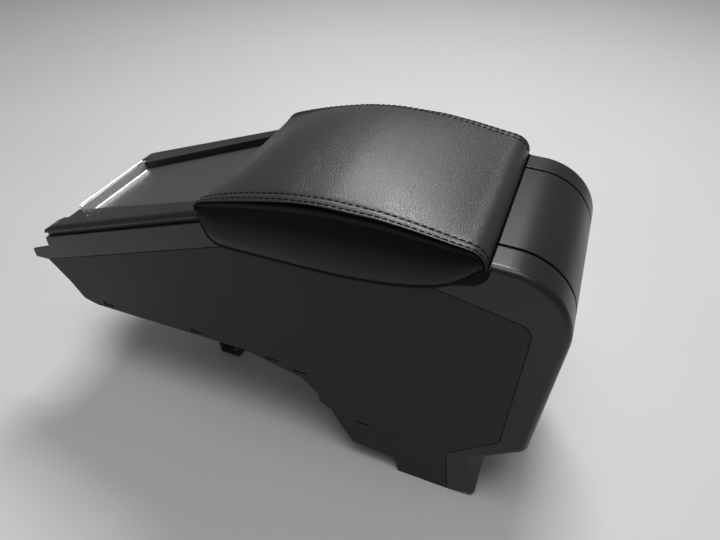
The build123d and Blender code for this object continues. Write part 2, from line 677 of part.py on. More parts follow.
def hinge_pin():
    """Steel pin through ears and arms, with a flat head at each end."""
    head = EAR_HALF + FIT
    pin = crossbar(PIN_R, -head - PLATE_T, head + PLATE_T)
    return pin + both_sides(crossbar(PIN_R * 1.6, head, head + PLATE_T))


def hinge_washers():
    """Thin washers between arms and ears."""
    low = arm_half() + FIT
    washer = crossbar(WASHER_R, low, low + ARM_GAP - 2 * FIT) - crossbar(PIN_R + PIN_PLAY, -FAR, FAR)
    return group([washer, mirror(washer, about=Plane.XZ)])


def bump_stops():
    """Rubber buttons on the frame's ledges that the armrest lands on."""
    height = LID_GAP - FIT
    return group([upright(STOP_R, x, side * BOSS_HALF, LEDGE_Z, LEDGE_Z + height) for x in STOP_X for side in (-1, 1)])


def pad_body(inset, grow=0.0):
    """Whole armrest under its crowned top, moved in by inset at the top, the nose and the rear roll."""
    stations = list(SEAM)
    roll_x, roll_z = hinge_point(ROLL_R, 100)
    stations.append((roll_x, roll_z, SEAM[-1][2], 0.3))
    low = GUSSET_EDGE[3][1] - ROLL_R
    sections = []
    for x, z, step, crown in stations:
        half = REAR_HALF - step + grow
        top = z - inset
        line = ThreePointArc((-half, top), (0, top + crown), (half, top))
        rest = Polyline((half, top), (half, low), (-half, low), (-half, top))
        sections.append(Pos(x, 0, 0) * (Plane.YZ * make_face(line + rest)))
    half = REAR_HALF - SEAM[-1][2] + grow
    roll = crossbar(ROLL_R - inset, -half, half) & block(roll_x - 1, FAR, -FAR, FAR, HINGE_Z, FAR)
    skirt = block(roll_x - 1, HINGE_X + ROLL_R - inset, -half, half, low, HINGE_Z)
    nose_x = PAD_NOSE_X + inset
    nose = side_prism((
        (nose_x, 0), (nose_x, SEAM[1][1] - 4), (SEAM[2][0], SEAM[2][1] + ROLL_R), (FAR, FAR), (FAR, 0)),
        (0, PAD_NOSE_R, 0, 0, 0))
    return (loft(sections) + roll + skirt) & nose


def under_armrest():
    """Space below the armrest that its parts stay out of."""
    front = 2 * PAD_NOSE_X
    return side_prism((
        (front, 0), (front, crest(front) + LID_GAP), (LEDGE_X, LEDGE_Z + LID_GAP),
        (HINGE_X - ROLL_R, LEDGE_Z + LID_GAP), (HINGE_X - ROLL_R, HINGE_Z), (FAR, HINGE_Z), (FAR, 0)))


def leather_top():
    """Leather panel over the top, the nose and the rear roll of the armrest."""
    return pad_body(0.0) - pad_body(LEATHER, 2 * WALL) - under_armrest()


def below_base():
    """Everything under the top surface of the armrest base."""
    front, rear = BASE_TOP[0][0], BASE_TOP[-1][0]
    outline = [(front, 0.0), *BASE_TOP, (rear, 0.0)]
    core = crossbar(ROLL_CORE[1], -FAR, FAR)
    bridge = side_prism(((rear - 1, HINGE_Z), BASE_TOP[-1], hinge_point(ROLL_CORE[1], 90), (HINGE_X, HINGE_Z)))
    return side_prism(outline) + core + bridge


def armrest_base():
    """Moulded lid under the foam, with room for the cover and a curl round the hinge."""
    base = (below_base() & wedge(RUN - FIT)) - under_armrest()
    base -= crossbar(ROLL_CORE[0], -FAR, FAR)
    gap = block(HINGE_X - ROLL_R + WALL, FAR, -FAR, FAR, 0, HINGE_Z + ROLL_CORE[0] / 2)
    base -= gap & block(0, HINGE_X, -FAR, FAR, 0, FAR)
    base -= block(HINGE_X, FAR, -FAR, FAR, 0, HINGE_Z + ROLL_CORE[0] * 0.75)
    room = open_half(OPEN_KNEE) + RUN
    reach = COVER_LEN + COVER_TRAVEL + 2 * RUN
    base -= deck_strip(0, reach, -FAR / 4, LID_GAP, -room, room)
    x0, x1 = BASE_HOLLOW
    roof = BASE_TOP[-2][1] - BASE_SHELL
    base -= block(x0, x1, -room, room, 0, roof)
    return base - arm_screw_holes()


def foam_pad():
    """Foam between the base and the leather."""
    return (pad_body(LEATHER + FIT) & wedge(RUN - FIT)) - below_base() - under_armrest()


def gusset(side):
    """Padded side panel that hangs over the frame's side band."""
    top = SEAM[-2][1] + ROLL_R
    edge = Spline(*GUSSET_EDGE)
    rest = Polyline(GUSSET_EDGE[-1], (GUSSET_EDGE[-1][0], top), (GUSSET_EDGE[0][0], top), GUSSET_EDGE[0])
    lens = across(Plane.XZ * make_face(edge + rest), 0, FAR)
    body = (lens & pad_body(LEATHER + FIT)) - wedge(RUN)
    return body if side > 0 else mirror(body, about=Plane.XZ)


def save(name, shape, middle):
    """Write one piece, with the origin under the middle of the console's length."""
    export_step(Pos(-middle, 0, 0) * shape, f"parts/{name}.step")


def main():
    """Build every piece and write it out."""
    os.makedirs("parts", exist_ok=True)
    shell = form(0.0) - form(WALL)
    left_panel, right_panel = side_panels(shell)
    pieces = {
        "top_frame": top_frame(shell), "left_side_panel": left_panel, "right_side_panel": right_panel,
        "rear_panel": rear_panel(shell), "carrier": carrier(), "front_bracket": front_bracket(),
        "bracket_bolts": group([bracket_bolts()]), "panel_clips": group([panel_clips()]),
        "cup_tray": cup_tray(), "cup_mat": cup_mat(), "left_track": track(-1), "right_track": track(1),
        "storage_bin": storage_bin(), "bin_mat": bin_mat(), "bin_screws": bin_screws(),
        "hinge_bracket": hinge_bracket(), "hinge_screws": hinge_screws(), "hinge_pin": hinge_pin(),
        "hinge_washers": hinge_washers(), "bump_stops": bump_stops(),
        "armrest_base": armrest_base(), "foam_pad": foam_pad(), "leather_top": leather_top(),
        "left_gusset": gusset(-1), "right_gusset": gusset(1), "hinge_arms": hinge_arms(),
        "arm_screws": arm_screws(),
        "sliding_cover": sliding_cover(), "polished_lip": polished_lip(),
        "left_runner": runner(-1), "right_runner": runner(1)}
    middle = pieces["top_frame"].bounding_box().center().X
    for name, shape in pieces.items():
        save(name, shape, middle)


main()
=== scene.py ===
import json
import logging
import math
from dataclasses import dataclass
from enum import Enum
from typing import Any, Iterable, Sequence

import bmesh
import bpy
from mathutils import Matrix, Vector
from mathutils.bvhtree import BVHTree


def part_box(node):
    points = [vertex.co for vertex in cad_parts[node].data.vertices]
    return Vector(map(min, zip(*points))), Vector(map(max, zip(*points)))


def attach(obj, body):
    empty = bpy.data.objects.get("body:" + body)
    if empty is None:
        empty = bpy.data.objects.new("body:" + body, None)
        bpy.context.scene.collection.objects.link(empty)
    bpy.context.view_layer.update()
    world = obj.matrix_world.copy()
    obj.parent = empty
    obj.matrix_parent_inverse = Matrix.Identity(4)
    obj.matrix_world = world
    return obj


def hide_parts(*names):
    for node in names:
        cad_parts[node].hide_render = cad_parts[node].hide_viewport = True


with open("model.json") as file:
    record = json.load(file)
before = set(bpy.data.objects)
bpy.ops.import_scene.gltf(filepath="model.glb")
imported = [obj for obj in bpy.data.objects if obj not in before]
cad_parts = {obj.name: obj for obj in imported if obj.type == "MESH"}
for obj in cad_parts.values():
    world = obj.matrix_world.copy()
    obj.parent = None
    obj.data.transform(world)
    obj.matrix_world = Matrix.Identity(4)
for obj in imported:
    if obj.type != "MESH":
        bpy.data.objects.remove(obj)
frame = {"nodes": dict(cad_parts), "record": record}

LOG = logging.getLogger("armrest")
MM = 0.001
HINGE_LAYOUT_X = 204.0
FINE_STEPS = 6
BEVEL_SAMPLES = 4

Point = tuple[float, float, float]
Colour = tuple[float, float, float]


class Body(Enum):
    """Bodies that the soft pieces ride on."""

    ARMREST = "armrest"


class Side(Enum):
    """Sides of the car, as the sign of the sideways axis."""

    LEFT = -1
    RIGHT = 1


def layout_shift() -> float:
    """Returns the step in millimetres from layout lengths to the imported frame."""
    low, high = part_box("hinge_pin")
    return (low[0] + high[0]) / 2 / MM - HINGE_LAYOUT_X


SHIFT = layout_shift()


def place(x: float, y: float, z: float) -> Vector:
    """Turn a layout place in millimetres into the scene's metres.

    Args:
        x: length towards the rear.
        y: width towards the car's right.
        z: height over the floor.

    Returns:
        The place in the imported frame.
    """
    return Vector(((x + SHIFT) * MM, y * MM, z * MM))


class Sock:
    """A shader socket that takes part in Python expressions."""

    def __init__(self, surface: "Surface", socket: Any) -> None:
        """Keep the socket and the surface that its node is on."""
        self.surface = surface
        self.socket = socket

    def maths(self, operation: str, first: Any, second: Any) -> "Sock":
        """Add a Math node.

        Args:
            operation: the node's operation.
            first: first value or socket.
            second: second value or socket.

        Returns:
            The node's value.
        """
        return self.surface.add("ShaderNodeMath", {"operation": operation}, {0: first, 1: second})

    def __add__(self, other: Any) -> "Sock":
        """Sum."""
        return self.maths("ADD", self, other)

    def __radd__(self, other: Any) -> "Sock":
        """Reflected sum."""
        return self.maths("ADD", other, self)

    def __sub__(self, other: Any) -> "Sock":
        """Difference."""
        return self.maths("SUBTRACT", self, other)

    def __rsub__(self, other: Any) -> "Sock":
        """Reflected difference."""
        return self.maths("SUBTRACT", other, self)

    def __mul__(self, other: Any) -> "Sock":
        """Product."""
        return self.maths("MULTIPLY", self, other)

    def __rmul__(self, other: Any) -> "Sock":
        """Reflected product."""
        return self.maths("MULTIPLY", other, self)

    def least(self, other: Any) -> "Sock":
        """The smaller of two values."""
        return self.maths("MINIMUM", self, other)

    def swing(self, reach: float) -> "Sock":
        """A value from 0 to 1 turned into a swing of half the reach to both sides of 0."""
        return (self - 0.5) * reach


class Surface:
    """A material whose nodes are added one by one."""

    def __init__(self, name: str) -> None:
        """Start a material with only its output node."""
        self.material = bpy.data.materials.new(name)
        self.material.use_nodes = True
        self.tree = self.material.node_tree
        self.tree.nodes.clear()
        self.output = self.tree.nodes.new("ShaderNodeOutputMaterial")

    def add(self, kind: str, settings: dict[str, Any], inputs: dict[Any, Any],
            out: Any = 0) -> Sock:
        """Add a node.

        Args:
            kind: the node's type.
            settings: the node's own properties, or "stops" of a ramp.
            inputs: values or sockets by input name or number.
            out: name or number of the output to give back.

        Returns:
            The chosen output.
        """
        node = self.tree.nodes.new(kind)
        for key, value in settings.items():
            if key == "stops":
                self.set_stops(node.color_ramp, value)
            else:
                setattr(node, key, value)
        for key, value in inputs.items():
            if isinstance(value, Sock):
                self.tree.links.new(value.socket, node.inputs[key])
            else:
                node.inputs[key].default_value = value
        return Sock(self, node.outputs[out])

    @staticmethod
    def set_stops(ramp: Any, stops: Sequence[tuple[float, float]]) -> None:
        """Give a ramp its grey stops.

        Args:
            ramp: the node's ramp.
            stops: pairs of place and value, rising.
        """
        while len(ramp.elements) < len(stops):
            ramp.elements.new(0.5)
        for element, (where, value) in zip(ramp.elements, stops):
            element.position = where
            element.color = (value, value, value, 1.0)

    def where(self) -> Sock:
        """Place on the piece, in metres."""
        return self.add("ShaderNodeTexCoord", {}, {}, "Object")

    def noise(self, scale: float, where: Sock | None = None, detail: float = 3.0) -> Sock:
        """Soft noise from 0 to 1.

        Args:
            scale: repeats for each metre.
            where: coordinates, the piece's own by default.
            detail: octaves.

        Returns:
            The noise value.
        """
        vector = where or self.where()
        return self.add("ShaderNodeTexNoise", {},
                        {"Vector": vector, "Scale": scale, "Detail": detail})

    def cells(self, scale: float, where: Sock, steepness: float = 5.0) -> Sock:
        """Rounded cells parted by fine creases, from 0 in a crease to 1.

        Args:
            scale: cells for each metre.
            where: coordinates.
            steepness: rise from the middle of a crease.

        Returns:
            The height of the cells.
        """
        creases = self.add("ShaderNodeTexVoronoi", {"feature": "DISTANCE_TO_EDGE"},
                           {"Vector": where, "Scale": scale})
        return (creases * steepness).least(1.0)

    def blend(self, share: Any, first: Any, second: Any) -> Sock:
        """Mix two colours.

        Args:
            share: 0 for the first colour, 1 for the second.
            first: first colour.
            second: second colour.

        Returns:
            The mixed colour.
        """
        inputs = {0: share, 6: first, 7: second}
        return self.add("ShaderNodeMix", {"data_type": "RGBA"}, inputs, 2)

    def bump(self, height: Sock, depth: float, strength: float, under: Sock | None = None) -> Sock:
        """Turn a height into a surface direction.

        Args:
            height: height from 0 to 1.
            depth: depth in metres of a height of 1.
            strength: share of the effect.
            under: surface direction to start from.

        Returns:
            The new surface direction.
        """
        inputs: dict[Any, Any] = {"Height": height, "Distance": depth, "Strength": strength}
        if under is not None:
            inputs["Normal"] = under
        return self.add("ShaderNodeBump", {}, inputs)

    def soft_edges(self, radius: float) -> Sock:
        """Surface direction with edges rounded by a radius in metres."""
        return self.add("ShaderNodeBevel", {"samples": BEVEL_SAMPLES}, {"Radius": radius})

    def finish(self, **inputs: Any) -> bpy.types.Material:
        """Put the principled shader on the output.

        Args:
            inputs: its inputs, with _ for a space.

        Returns:
            The material.
        """
        values = {key.replace("_", " "): value for key, value in inputs.items()}
        shader = self.add("ShaderNodeBsdfPrincipled", {}, values)
        self.tree.links.new(shader.socket, self.output.inputs["Surface"])
        return self.material


def opaque(colour: Colour) -> tuple[float, float, float, float]:
    """Colour with full cover."""
    return (*colour, 1.0)


def shade(colour: Colour, factor: float) -> tuple[float, float, float, float]:
    """Darker or lighter colour with full cover."""
    return opaque(tuple(min(1.0, part * factor) for part in colour))


@dataclass(frozen=True)
class MouldedPlastic:
    """Dark moulded plastic with a fine eroded grain and a few softer patches."""

    name: str
    colour: Colour
    roughness: float = 0.5
    grain: float = 1500.0
    grain_depth: float = 0.00004
    pore_scale: float = 0.8
    pore_share: float = 0.4
    patch: float = 9.0
    patch_share: float = 0.7
    rough_patches: float = 0.14
    rough_grain: float = 0.06
    relief: float = 0.6
    edge: float = 0.0006
    specular: float = 0.5
    tones: tuple[float, float] = (0.82, 1.18)

    def material(self) -> bpy.types.Material:
        """Build the nodes.

        Returns:
            The finished material.
        """
        surface = Surface(self.name)
        where = surface.where()
        grain = surface.noise(self.grain, where)
        patches = surface.noise(self.patch, where)
        pores = surface.add("ShaderNodeTexVoronoi", {},
                            {"Vector": where, "Scale": self.grain * self.pore_scale}, "Distance")
        height = grain * (1 - self.pore_share) + pores * self.pore_share
        dark, light = (shade(self.colour, tone) for tone in self.tones)
        tone = patches * self.patch_share + grain * (1 - self.patch_share)
        base = surface.blend(tone, dark, light)
        rough = self.roughness + patches.swing(self.rough_patches) + grain.swing(self.rough_grain)
        normal = surface.bump(height, self.grain_depth, self.relief, surface.soft_edges(self.edge))
        return surface.finish(Base_Color=base, Roughness=rough, Normal=normal,
                              Specular_IOR_Level=self.specular)


@dataclass(frozen=True)
class Leather:
    """Black leather with a pebbled grain, fine creases and a satin top coat."""

    name: str
    colour: Colour
    roughness: float = 0.34
    cells: float = 520.0
    depth: float = 0.0002
    drift_scale: float = 0.5
    wander: float = 0.0012
    fine_scale: float = 4.0
    fine_share: float = 0.25
    broad: float = 12.0
    broad_share: float = 0.5
    rough_broad: float = 0.10
    rough_creases: float = 0.14
    relief: float = 0.7
    coat: float = 0.12
    coat_roughness: float = 0.35
    specular: float = 0.7
    tones: tuple[float, float] = (0.7, 1.15)

    def material(self) -> bpy.types.Material:
        """Build the nodes.

        Returns:
            The finished material.
        """
        surface = Surface(self.name)
        where = surface.where()
        drift = surface.add("ShaderNodeTexNoise", {},
                            {"Vector": where, "Scale": self.cells * self.drift_scale}, "Color")
        bent = surface.add("ShaderNodeVectorMath", {"operation": "MULTIPLY_ADD"},
                           {0: drift, 1: (self.wander, self.wander, self.wander), 2: where})
        pebble = surface.cells(self.cells, bent)
        fine = surface.noise(self.cells * self.fine_scale, where)
        broad = surface.noise(self.broad, where)
        height = pebble * (1 - self.fine_share) + fine * self.fine_share
        dark, light = (shade(self.colour, tone) for tone in self.tones)
        tone = pebble * (1 - self.broad_share) + broad * self.broad_share
        base = surface.blend(tone, dark, light)
        rough = self.roughness + broad.swing(self.rough_broad) + (1.0 - pebble) * self.rough_creases
        normal = surface.bump(height, self.depth, self.relief)
        return surface.finish(Base_Color=base, Roughness=rough, Normal=normal, Coat_Weight=self.coat,
                              Coat_Roughness=self.coat_roughness,
                              Specular_IOR_Level=self.specular)


@dataclass(frozen=True)
class SideVinyl:
    """Pad cover with painted shade and sheen: dark and dull under the seam, lighter and glossier below.
    """

    name: str
    colour: Colour
    roughness: float = 0.5
    cells: float = 900.0
    depth: float = 0.00008
    broad: float = 14.0
    broad_share: float = 0.3
    rough_broad: float = 0.1
    rough_creases: float = 0.1
    relief: float = 0.5
    # Painted sheen: coat by the drop, a glint on the roll under the seam, none below it, rising to the
    # edge
    coat: tuple[tuple[float, float], ...] = (
        (0.03, 0.0), (0.06, 0.4), (0.10, 0.2), (0.14, 0.0), (0.42, 0.02), (1.0, 0.8))
    coat_roughness: float = 0.42
    specular: float = 0.05
    # Painted shade: colour scale from dark under the seam to light at the lower edge
    tones: tuple[float, float] = (0.15, 1.2)

    def material(self) -> bpy.types.Material:
        """Build the nodes.

        Returns:
            The finished material.
        """
        surface = Surface(self.name)
        where = surface.where()
        drop = surface.add("ShaderNodeAttribute", {"attribute_name": "drop"}, {}, "Fac")
        pebble = surface.cells(self.cells, where)
        broad = surface.noise(self.broad, where)
        dark, light = (shade(self.colour, tone) for tone in self.tones)
        # Painted shade: the drop darkens the colour under the seam and lightens it towards the lower
        # edge
        tone = drop * (1 - self.broad_share) + broad * self.broad_share
        base = surface.blend(tone, dark, light)
        rough = self.roughness + broad.swing(self.rough_broad) + (1.0 - pebble) * self.rough_creases
        # Painted sheen: coat weight set by the drop
        coat = surface.add("ShaderNodeValToRGB", {"stops": self.coat}, {"Fac": drop})
        normal = surface.bump(pebble, self.depth, self.relief)
        return surface.finish(Base_Color=base, Roughness=rough, Normal=normal, Coat_Weight=coat,
                              Coat_Roughness=self.coat_roughness,
                              Specular_IOR_Level=self.specular)


@dataclass(frozen=True)
class PolishedMetal:
    """Satin plated trim with a trace of wiping marks."""

    name: str
    colour: Colour
    roughness: float = 0.3
    marks: float = 60.0
    rough_marks: float = 0.04
    edge: float = 0.0002
    tones: tuple[float, float] = (0.94, 1.0)

    def material(self) -> bpy.types.Material:
        """Build the nodes.

        Returns:
            The finished material.
        """
        surface = Surface(self.name)
        marks = surface.noise(self.marks, detail=4.0)
        rough = self.roughness + marks.swing(self.rough_marks)
        dark, light = (shade(self.colour, tone) for tone in self.tones)
        base = surface.blend(marks, dark, light)
        return surface.finish(Base_Color=base, Roughness=rough, Metallic=1.0,
                              Normal=surface.soft_edges(self.edge))


@dataclass(frozen=True)
class SheetSteel:
    """Coated or plated steel with a faint rolled texture."""

    name: str
    colour: Colour
    metallic: float = 0.0
    roughness: float = 0.45
    rolled: float = 900.0
    stretch: Point = (1.0, 0.08, 1.0)
    cloud: float = 40.0
    rough_rolled: float = 0.2
    grain_depth: float = 0.00003
    relief: float = 0.4
    edge: float = 0.0004
    tones: tuple[float, float] = (0.8, 1.15)

    def material(self) -> bpy.types.Material:
        """Build the nodes.

        Returns:
            The finished material.
        """
        surface = Surface(self.name)
        stretch = surface.add("ShaderNodeMapping", {},
                              {"Vector": surface.where(), "Scale": self.stretch})
        rolled = surface.noise(self.rolled, stretch)
        cloud = surface.noise(self.cloud)
        dark, light = (shade(self.colour, tone) for tone in self.tones)
        base = surface.blend(cloud, dark, light)
        rough = self.roughness + rolled.swing(self.rough_rolled)
        normal = surface.bump(rolled, self.grain_depth, self.relief, surface.soft_edges(self.edge))
        return surface.finish(Base_Color=base, Roughness=rough, Metallic=self.metallic, Normal=normal)


@dataclass(frozen=True)
class SoftMatte:
    """Rubber, felt or foam: matte, with a speckled surface."""

    name: str
    colour: Colour
    speck: float = 1800.0
    depth: float = 0.0002
    roughness: float = 0.85
    cloud: float = 30.0
    cloud_share: float = 0.4
    rough_specks: float = 0.15
    relief: float = 0.7
    specular: float = 0.5
    tones: tuple[float, float] = (0.6, 1.3)

    def material(self) -> bpy.types.Material:
        """Build the nodes.

        Returns:
            The finished material.
        """
        surface = Surface(self.name)
        specks = surface.noise(self.speck, detail=4.0)
        cloud = surface.noise(self.cloud, detail=2.0)
        dark, light = (shade(self.colour, tone) for tone in self.tones)
        tone = specks * (1 - self.cloud_share) + cloud * self.cloud_share
        base = surface.blend(tone, dark, light)
        rough = self.roughness + specks.swing(self.rough_specks)
        normal = surface.bump(specks, self.depth, self.relief)
        return surface.finish(Base_Color=base, Roughness=rough, Normal=normal,
                              Specular_IOR_Level=self.specular)


@dataclass(frozen=True)
class SewingThread:
    """Twisted black thread with a slight sheen."""

    name: str
    colour: Colour
    roughness: float = 0.6
    twists: float = 900.0
    distortion: float = 1.5
    rough_twist: float = 0.1
    depth: float = 0.0001
    relief: float = 0.5
    specular: float = 0.15
    tones: tuple[float, float] = (0.6, 1.3)

    def material(self) -> bpy.types.Material:
        """Build the nodes.

        Returns:
            The finished material.
        """
        surface = Surface(self.name)
        twist = surface.add("ShaderNodeTexWave", {"bands_direction": "DIAGONAL"},
                            {"Vector": surface.where(), "Scale": self.twists,
                             "Distortion": self.distortion})
        dark, light = (shade(self.colour, tone) for tone in self.tones)
        rough = self.roughness + twist.swing(self.rough_twist)
        normal = surface.bump(twist, self.depth, self.relief)
        return surface.finish(Base_Color=surface.blend(twist, dark, light), Roughness=rough,
                              Normal=normal, Specular_IOR_Level=self.specular)


@dataclass(frozen=True)
class StudioFloor:
    """Pale painted floor with a faint cloudiness."""

    name: str
    colour: Colour
    roughness: float = 0.6
    cloud: float = 3.0
    tones: tuple[float, float] = (0.96, 1.03)

    def material(self) -> bpy.types.Material:
        """Build the nodes.

        Returns:
            The finished material.
        """
        surface = Surface(self.name)
        cloud = surface.noise(self.cloud, detail=4.0)
        dark, light = (shade(self.colour, tone) for tone in self.tones)
        return surface.finish(Base_Color=surface.blend(cloud, dark, light), Roughness=self.roughness)


class Track1D:
    """Smooth curve through (place, value) pairs that never overshoots them."""

    def __init__(self, pairs: Sequence[tuple[float, float]]) -> None:
        """Work out the slopes of the curve at its points.

        Args:
            pairs: pairs of place and value, with rising places.
        """
        self.xs = [pair[0] for pair in pairs]
        self.ys = [pair[1] for pair in pairs]
        steps = [b - a for a, b in zip(self.xs, self.xs[1:])]
        rises = [(b - a) / h for a, b, h in zip(self.ys, self.ys[1:], steps)]
        self.slopes = [rises[0]]
        for before, after in zip(rises, rises[1:]):
            even = 2 * before * after / (before + after) if before * after > 0 else 0.0
            self.slopes.append(even)
        self.slopes.append(rises[-1])

    def at(self, x: float) -> float:
        """Value at a place.

        Args:
            x: the place, held between the first and the last one.

        Returns:
            The value of the curve there.
        """
        x = min(max(x, self.xs[0]), self.xs[-1])
        k = max(i for i, start in enumerate(self.xs[:-1]) if start <= x)
        h = self.xs[k + 1] - self.xs[k]
        t = (x - self.xs[k]) / h
        lift = (2 * t + 1) * (1 - t) ** 2 * self.ys[k] + t * t * (3 - 2 * t) * self.ys[k + 1]
        return lift + h * (t * (1 - t) ** 2 * self.slopes[k] - t * t * (1 - t) * self.slopes[k + 1])


def lengths_along(points: Sequence[Vector]) -> list[float]:
    """Length from the start of a polyline to each of its points.

    Args:
        points: the polyline.

    Returns:
        One length for each point.
    """
    lengths = [0.0]
    for a, b in zip(points, points[1:]):
        lengths.append(lengths[-1] + (b - a).length)
    return lengths


def spread(points: Sequence[Vector], places: Iterable[float]) -> list[Vector]:
    """Points on a polyline at the given lengths along it.

    Args:
        points: the polyline.
        places: lengths from its start, rising.

    Returns:
        One point for each length.
    """
    lengths = lengths_along(points)
    found = []
    k = 0
    for where in places:
        while k < len(points) - 2 and lengths[k + 1] < where:
            k += 1
        run = lengths[k + 1] - lengths[k]
        share = 0.0 if run == 0 else (where - lengths[k]) / run
        found.append(points[k].lerp(points[k + 1], min(max(share, 0.0), 1.0)))
    return found


def path_length(points: Sequence[Vector]) -> float:
    """Length of a polyline."""
    return lengths_along(points)[-1]


def smooth_path(points: Sequence[Vector], count: int) -> list[Vector]:
    """Even points on a smooth curve through a few points.

    Args:
        points: points that the curve passes.
        count: number of even points.

    Returns:
        The even points.
    """
    lengths = lengths_along(points)
    axes = [Track1D([(s, p[k]) for s, p in zip(lengths, points)]) for k in range(3)]
    steps = FINE_STEPS * count
    fine = [Vector([axis.at(lengths[-1] * i / steps) for axis in axes]) for i in range(steps + 1)]
    total = path_length(fine)
    return spread(fine, [total * i / (count - 1) for i in range(count)])


def new_piece(name: str, points: Sequence[Vector], faces: Sequence[Sequence[int]],
              material: bpy.types.Material) -> bpy.types.Object:
    """Make a smooth mesh object.

    Args:
        name: name of the piece.
        points: its vertices.
        faces: its faces by vertex number.
        material: its finish.

    Returns:
        The object, linked to the scene.
    """
    mesh = bpy.data.meshes.new(name)
    mesh.from_pydata([tuple(point) for point in points], [], [tuple(face) for face in faces])
    mesh.validate()
    shell = bmesh.new()
    shell.from_mesh(mesh)
    bmesh.ops.recalc_face_normals(shell, faces=shell.faces)
    shell.to_mesh(mesh)
    shell.free()
    mesh.polygons.foreach_set("use_smooth", [True] * len(mesh.polygons))
    mesh.materials.append(material)
    piece = bpy.data.objects.new(name, mesh)
    bpy.context.scene.collection.objects.link(piece)
    return piece


def grid_faces(rows: int, columns: int, start: int = 0) -> list[tuple[int, ...]]:
    """Faces of a grid of vertices.

    Args:
        rows: number of rows.
        columns: number of columns.
        start: number of the first vertex.

    Returns:
        The faces.
    """
    faces = []
    for i in range(rows - 1):
        for j in range(columns - 1):
            a = start + i * columns + j
            faces.append((a, a + 1, a + columns + 1, a + columns))
    return faces


def rim(rows: int, columns: int) -> list[int]:
    """Walk round the edge of a grid of vertices.

    Args:
        rows: number of rows.
        columns: number of columns.

    Returns:
        The numbers of the vertices on the edge, in order.
    """
    top = list(range(columns))
    right = [i * columns + columns - 1 for i in range(1, rows)]
    bottom = [(rows - 1) * columns + j for j in range(columns - 2, -1, -1)]
    left = [i * columns for i in range(rows - 2, 0, -1)]
    return top + right + bottom + left


def shell_faces(rows: int, columns: int) -> list[tuple[int, ...]]:
    """Faces of a closed shell made of two grids of vertices, one after the other.

    Args:
        rows: number of rows of each grid.
        columns: number of columns of each grid.

    Returns:
        The faces of both grids and of the strip that joins their edges.
    """
    second = rows * columns
    faces = grid_faces(rows, columns) + grid_faces(rows, columns, second)
    ring = rim(rows, columns)
    for a, b in zip(ring, ring[1:] + ring[:1]):
        faces.append((b, a, a + second, b + second))
    return faces


def tube_faces(rings: int, around: int, start: int = 0) -> list[tuple[int, ...]]:
    """Faces of a closed tube of vertices.

    Args:
        rings: number of rings along the tube.
        around: number of vertices in a ring.
        start: number of the first vertex.

    Returns:
        The faces, with one at each end.
    """
    faces = []
    for i in range(rings - 1):
        for k in range(around):
            a = start + i * around + k
            b = start + i * around + (k + 1) % around
            faces.append((a, b, b + around, a + around))
    faces.append(tuple(start + k for k in reversed(range(around))))
    faces.append(tuple(start + (rings - 1) * around + k for k in range(around)))
    return faces


def round_off(piece: bpy.types.Object) -> None:
    """Subdivide a piece once into a smooth surface, in its own mesh.

    Args:
        piece: the piece.
    """
    modifier = piece.modifiers.new("round", "SUBSURF")
    modifier.levels = 1
    modifier.render_levels = 1
    graph = bpy.context.evaluated_depsgraph_get()
    mesh = bpy.data.meshes.new_from_object(piece.evaluated_get(graph))
    piece.modifiers.clear()
    piece.data = mesh


